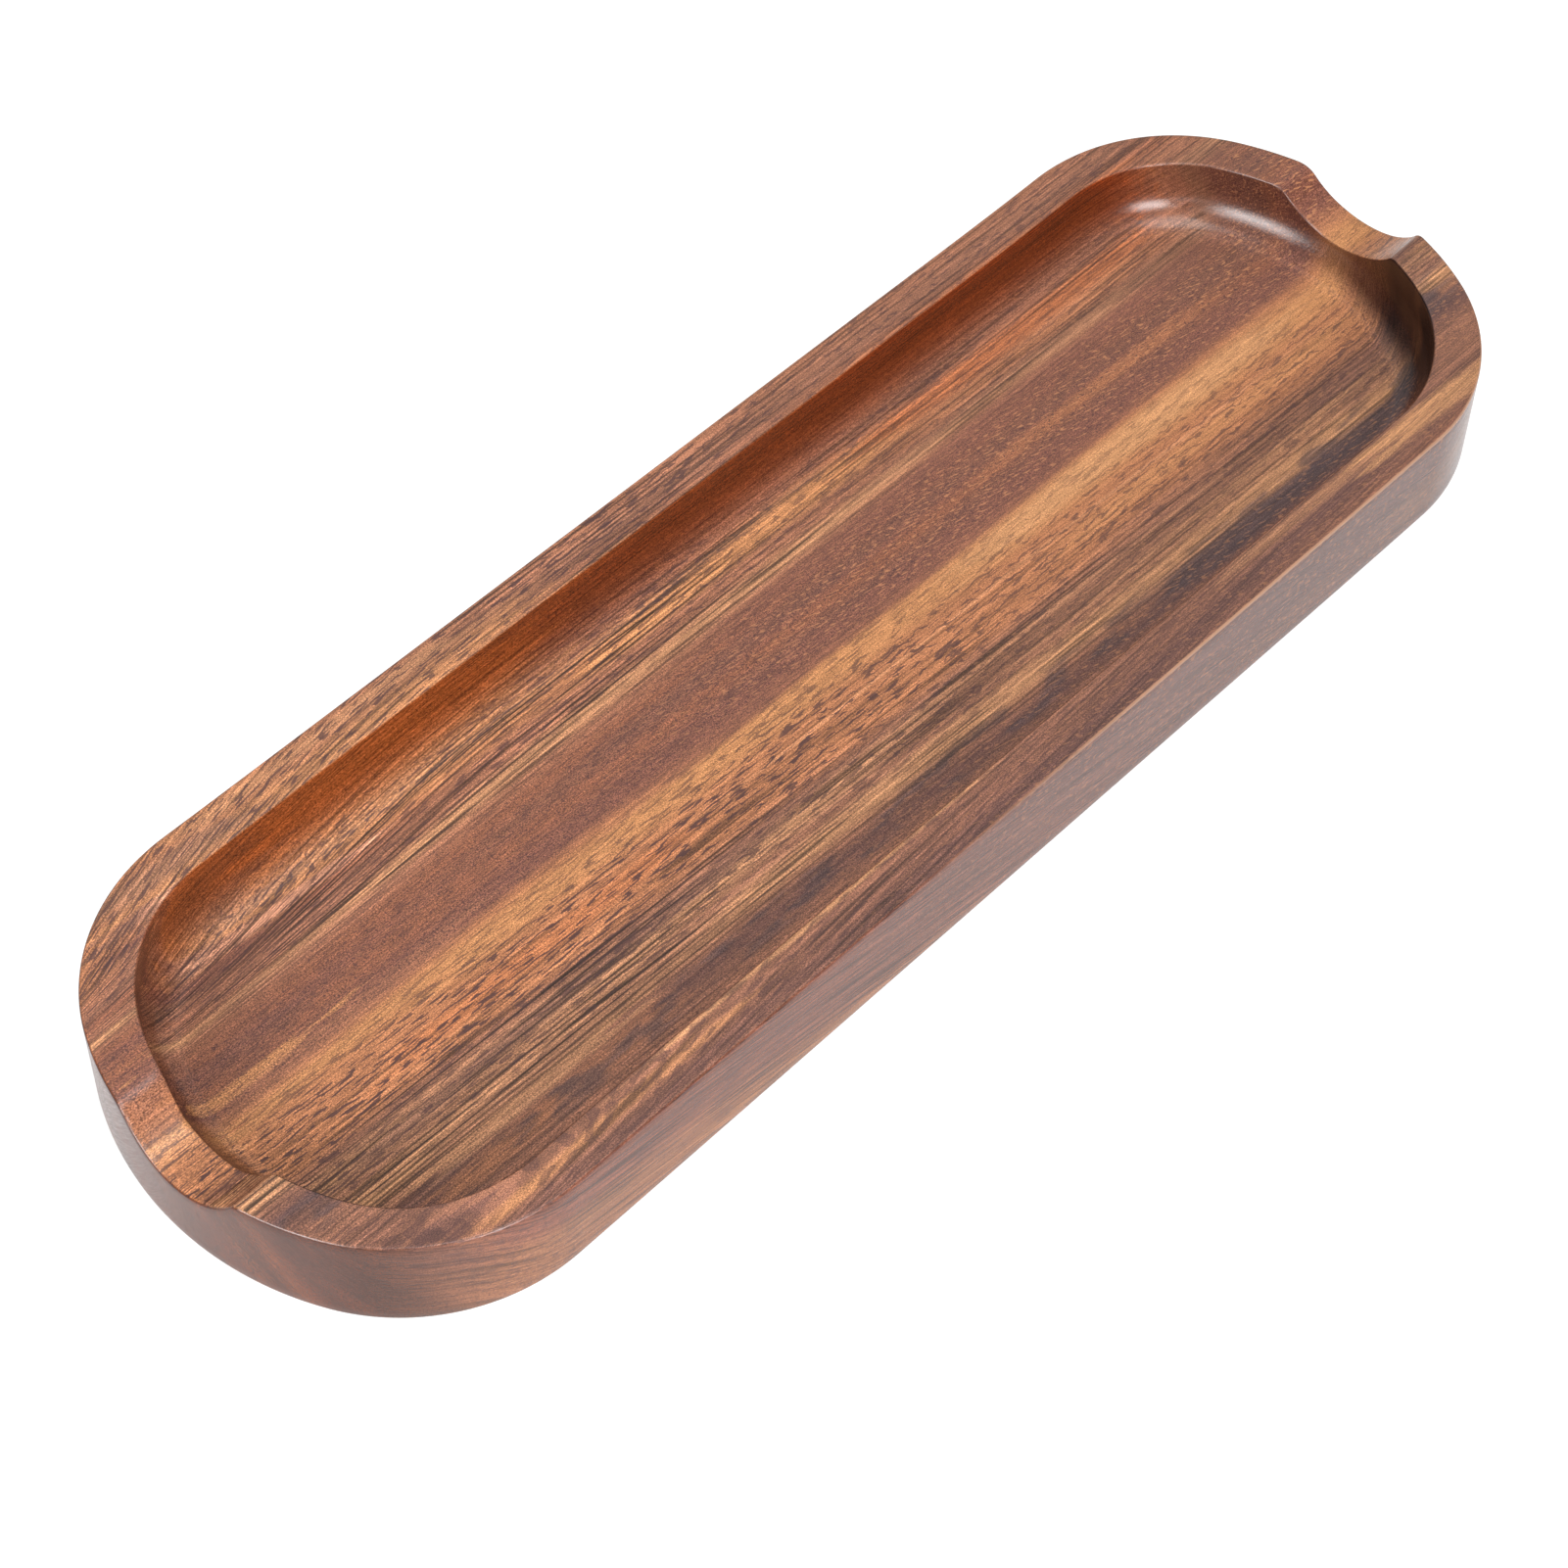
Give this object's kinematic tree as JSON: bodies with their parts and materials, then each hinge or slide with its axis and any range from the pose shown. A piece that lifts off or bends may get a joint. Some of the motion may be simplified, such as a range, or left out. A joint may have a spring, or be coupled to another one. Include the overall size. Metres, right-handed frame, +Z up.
{
  "type": "utensil rest",
  "caption": "Long wooden utensil rest with bowed ends, a flat rim, a coved flat-floored pocket for utensil heads, and a round scoop through the rim at each end for handles.",
  "frame": {"origin": "middle of the flat underside, on the surface that the rest stands on", "axes": "+X along the length, +Y across the width, +Z up out of the pocket"},
  "size_m": [0.28, 0.09, 0.0195],
  "materials": {
    "oiled_wood": "oiled satin"
  },
  "bodies": {
    "root": {"tray": "oiled_wood"}
  },
  "joints": []
}
